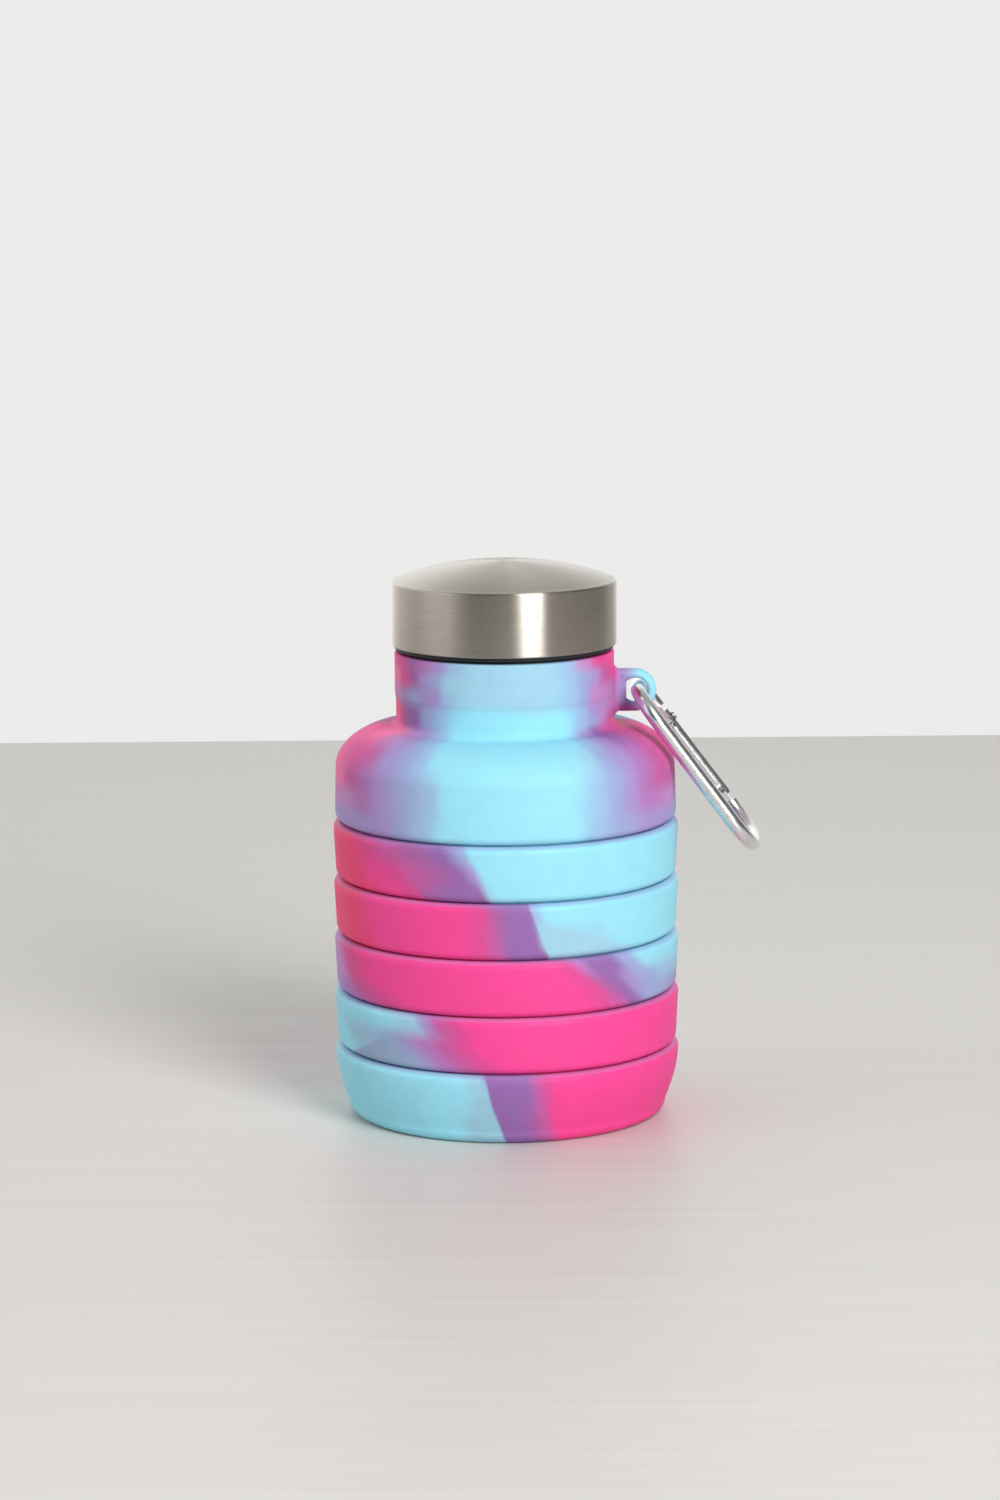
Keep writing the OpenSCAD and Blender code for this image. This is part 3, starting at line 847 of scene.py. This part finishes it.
def brushed_steel(name, anisotropic, rough):
    """Stainless steel brushed round and round: fine streaks follow the turn on the side and on the dome."""
    g = Finish(name, metallic=1.0, anisotropic=anisotropic, anisotropic_rotation=0.25)
    x, y, z = g.split()
    r = g.radius()
    unit_x, unit_y = g.math("DIVIDE", x, r), g.math("DIVIDE", y, r)
    across = g.math("ADD", z, r)

    def streaks(length, width, seed):
        turn_scale = CAP_R / length
        place = g.join(
            g.math("MULTIPLY", unit_x, turn_scale),
            g.math("MULTIPLY", unit_y, turn_scale),
            g.math("DIVIDE", across, width * MM),
        )
        return g.noise(1.0, 3, 0.6, place, seed)

    fine, broad = streaks(3.0, 0.13, 1.0), streaks(9.0, 0.5, 2.0)
    both = g.math("ADD", g.math("MULTIPLY", fine, 0.6), g.math("MULTIPLY", broad, 0.4))
    shades = [(0.3, (0.38, 0.345, 0.30)), (0.5, (0.455, 0.418, 0.37)), (0.7, (0.53, 0.49, 0.44))]
    g.set(g.shader, "Base Color", g.ramp(both, shades, "LINEAR"))
    g.set(g.shader, "Roughness", g.span(both, 0.3, 0.7, rough - 0.04, rough + 0.04))
    g.set(g.shader, "Tangent", g.add("Tangent", direction_type="RADIAL", axis="Z").outputs[0])
    g.set(g.shader, "Normal", g.bump(fine, 0.000004))
    return g.material


def dark_plastic(name, shade, rough):
    """Moulded plastic with a fine spark-eroded grain and faint scuffs."""
    g = Finish(name, specular_ior_level=0.3)
    scuff = g.noise(900, 4, 0.7)
    g.set(g.shader, "Base Color", g.ramp(scuff, [(0.35, tuple(c * 0.8 for c in shade)), (0.7, shade)]))
    g.set(g.shader, "Roughness", g.span(scuff, 0.3, 0.7, rough - 0.06, rough + 0.08))
    g.set(g.shader, "Normal", g.bump(g.noise(5200, 2, 0.6), 0.000015))
    return g.material


def gasket_silicone(name):
    """Milky food-grade silicone."""
    g = Finish(name, roughness=0.5, subsurface_weight=0.3, subsurface_scale=0.002)
    cloud = g.noise(300, 3, 0.5)
    g.set(g.shader, "Base Color", g.ramp(cloud, [(0.3, (0.72, 0.72, 0.69)), (0.7, (0.80, 0.80, 0.78))]))
    g.set(g.shader, "Normal", g.bump(g.noise(2600, 2, 0.5), 0.00001))
    return g.material


def polished_metal(name, shade, rough, streak_scale):
    """Drawn and tumbled metal: soft draw lines and rubbed patches."""
    g = Finish(name, metallic=1.0)
    worn = g.noise(350, 3, 0.6)
    dark = tuple(c * 0.86 for c in shade)
    g.set(g.shader, "Base Color", g.ramp(worn, [(0.35, dark), (0.65, shade)]))
    g.set(g.shader, "Roughness", g.span(g.noise(700, 3, 0.6, seed=2.0), 0.3, 0.7, rough * 0.9, rough * 1.15))
    g.set(g.shader, "Normal", g.bump(g.noise(streak_scale, 2, 0.5, seed=4.0), 0.0000001))
    return g.material


# ---------------------------------------------------------------- pieces


def finish_piece(obj, body, node, material):
    obj.data.materials.clear()
    obj.data.materials.append(material)
    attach(obj, body)
    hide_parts(node)


def build_body():
    base = revolve("base_cup_moulded", base_outline())
    material = marbled("silicone_base", BASE_COLOURS, 0.5, BASE_WEDGES, RIMS[0] * MM)
    finish_piece(base, "base", "base_cup", material)
    looks = (
        (RING_4_COLOURS, 1.3, RING_4_WEDGES),
        (RING_3_COLOURS, 1.7, ()),
        (RING_2_COLOURS, 0.5, RING_2_WEDGES),
        (RING_1_COLOURS, 0.9, ()),
    )
    for level, (band, (colours, slant, wedges)) in enumerate(zip(RINGS, looks), start=1):
        body = "ring" + band[-2:]
        slot = "silicone_" + body
        ring = revolve(band + "_moulded", band_outline(level))
        finish_piece(ring, body, band, marbled(slot, colours, slant, wedges, RIMS[level] * MM))


def build_shoulder():
    shoulder = revolve("shoulder_moulded", shoulder_outline())
    join_solids(shoulder, make_loop("loop"))
    material = marbled("silicone_shoulder", SHOULDER_COLOURS, has_loop=True)
    finish_piece(shoulder, "top", "shoulder", material)


def build_webs():
    material = marbled("silicone_web", WEB_COLOURS, 0.0)
    for level, rim in enumerate(RIMS):
        node = f"fold_web_{5 - level}"
        web = revolve(node + "_moulded", web_outline(level))
        web.data.materials.append(material)
        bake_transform(web)
        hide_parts(node)


def build_neck_and_cap():
    black = dark_plastic("black_plastic", (0.013, 0.013, 0.015), 0.42)
    insert = revolve("neck_insert_moulded", insert_outline())
    join_solids(insert, make_thread("male_thread", THREAD_ROOT_R, THREAD_CREST_R, THREAD_FOOT_Z, 2))
    finish_piece(insert, "top", "neck_insert", black)
    liner = revolve("cap_liner_moulded", liner_outline())
    start = THREAD_FOOT_Z + THREAD_PITCH / 2
    join_solids(liner, make_thread("female_thread", LINER_BORE_R, LINER_CREST_R, start, 1.5))
    finish_piece(liner, "cap", "cap_liner", black)
    shell = revolve("cap_shell_spun", shell_outline())
    finish_piece(shell, "cap", "cap_shell", brushed_steel("brushed_steel", 1.0, 0.33))
    shell.data.materials.append(brushed_steel("brushed_steel_dome", 0.7, 0.38))
    for face in shell.data.polygons:
        face.material_index = int(face.center.z > (CAP_FOOT_Z + CAP_SIDE_H + CAP_EDGE_R) * MM)
    seal = revolve("cap_seal_moulded", seal_outline())
    finish_piece(seal, "seal", "cap_seal", gasket_silicone("gasket_silicone"))


def finish_carabiner():
    aluminium = polished_metal("polished_aluminium", (0.88, 0.885, 0.89), 0.24, 900)
    gate = polished_metal("satin_aluminium", (0.80, 0.80, 0.80), 0.26, 1200)
    pin = polished_metal("pin_steel", (0.58, 0.57, 0.55), 0.2, 3000)
    looks = {
        "carabiner_frame": aluminium,
        "carabiner_gate": gate,
        "gate_hinge_pin": pin,
        "gate_latch_pin": pin,
        "gate_plunger": pin,
        "gate_spring": pin,
    }
    for node, material in looks.items():
        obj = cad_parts[node]
        obj.data.materials.clear()
        obj.data.materials.append(material)


# ---------------------------------------------------------------- studio


def build_table():
    """A pale table, a little rough, whose far edge shows behind the bottle."""
    near, far, side, thick = -1.4, 0.467, 3.0, 0.02
    g = Finish("pale_table", specular_ior_level=0.4)
    x, y, z = g.split()
    grain_place = g.join(g.math("MULTIPLY", x, 7.0), g.math("MULTIPLY", y, 260.0), z)
    grain = g.noise(1.0, 4, 0.65, grain_place)
    shades = [(0.3, (0.65, 0.628, 0.59)), (0.7, (0.70, 0.678, 0.64))]
    g.set(g.shader, "Base Color", g.ramp(grain, shades))
    g.set(g.shader, "Roughness", g.span(grain, 0.3, 0.7, 0.42, 0.54))
    g.set(g.shader, "Normal", g.bump(grain, 0.00004))
    corners = [(-side, near), (side, near), (side, far), (-side, far)]
    vertices = [(a / MM, b / MM, c / MM) for c in (0.0, -thick) for a, b in corners]
    faces = [[0, 1, 2, 3], [7, 6, 5, 4], [0, 4, 5, 1], [1, 5, 6, 2], [2, 6, 7, 3], [3, 7, 4, 0]]
    table = make_object("table", vertices, faces)
    table.data.materials.append(g.material)


# How bright the room is at eye level, as stops of (azimuth in degrees, brightness), and overhead
ROOM = [
    (-180, 1.35), (-150, 1.3), (-128, 1.1), (-103, 0.92), (-78, 1.4), (-60, 1.3), (-47, 0.5), (-36, 0.1),
    (-25, 0.02), (-10, 0.08), (0, 0.1), (40, 0.1), (60, 0.12), (90, 0.13), (108, 0.1), (120, 0.2),
    (140, 0.6), (180, 1.25),
]
CEILING = 0.42


def build_world():
    """The camera sees a pale wall. Other rays see a soft room, bright behind the bottle and dim in front."""
    world = bpy.data.worlds.new("studio")
    bpy.context.scene.world = world
    world.use_nodes = True
    g = Nodes(world.node_tree, "Generated")
    x, y, z = g.split()
    turn = g.math("ARCTAN2", x, g.math("MULTIPLY", y, -1.0))
    around = g.math("ADD", g.math("DIVIDE", turn, 2 * math.pi), 0.5)
    walls = g.ramp(around, [((at + 180) / 360, (bright,) * 3) for at, bright in ROOM])
    room = g.mix(g.span(z, 0.45, 0.95), walls, (CEILING,) * 3)
    light = g.add("Background", {"Color": room}).outputs[0]
    wall = g.add("Background", {"Color": (0.835, 0.835, 0.83, 1)}).outputs[0]
    seen = g.add("LightPath").outputs["Is Camera Ray"]
    mixed = g.add("MixShader", {0: seen, 1: light, 2: wall}).outputs[0]
    g.add("OutputWorld", {0: mixed})


def add_softbox(name, azimuth, elevation, distance, width, height, watts):
    """A softbox aimed at the bottle. Azimuth 0 is the camera's side and 90 is the loop's."""
    a, e = math.radians(azimuth), math.radians(elevation)
    away = Vector((math.sin(a) * math.cos(e), -math.cos(a) * math.cos(e), math.sin(e)))
    data = bpy.data.lights.new(name, "AREA")
    data.shape = "RECTANGLE"
    data.size, data.size_y = width, height
    data.energy = watts
    obj = bpy.data.objects.new(name, data)
    bpy.context.scene.collection.objects.link(obj)
    obj.location = Vector((0, 0, 0.06)) + away * distance
    obj.rotation_mode = "QUATERNION"
    obj.rotation_quaternion = away.to_track_quat("Z", "Y")


def build_camera():
    data = bpy.data.cameras.new("camera")
    data.sensor_width = 36
    data.lens = 112.514
    data.clip_start, data.clip_end = 0.05, 20
    camera = bpy.data.objects.new("camera", data)
    camera.location = (-0.00102, -0.93842, 0.23025)
    pitch, roll = 9.4376, -0.4676
    aim = Euler((math.radians(90 - pitch), 0, 0)).to_matrix() @ Euler((0, 0, math.radians(roll))).to_matrix()
    camera.rotation_euler = aim.to_euler()
    bpy.context.scene.collection.objects.link(camera)
    bpy.context.scene.camera = camera


build_body()
build_shoulder()
build_webs()
build_neck_and_cap()
finish_carabiner()
build_table()
build_world()
add_softbox("key", azimuth=29, elevation=28, distance=1.5, width=0.58, height=1.1, watts=21.2)
build_camera()
bpy.context.scene.view_settings.view_transform = "Standard"
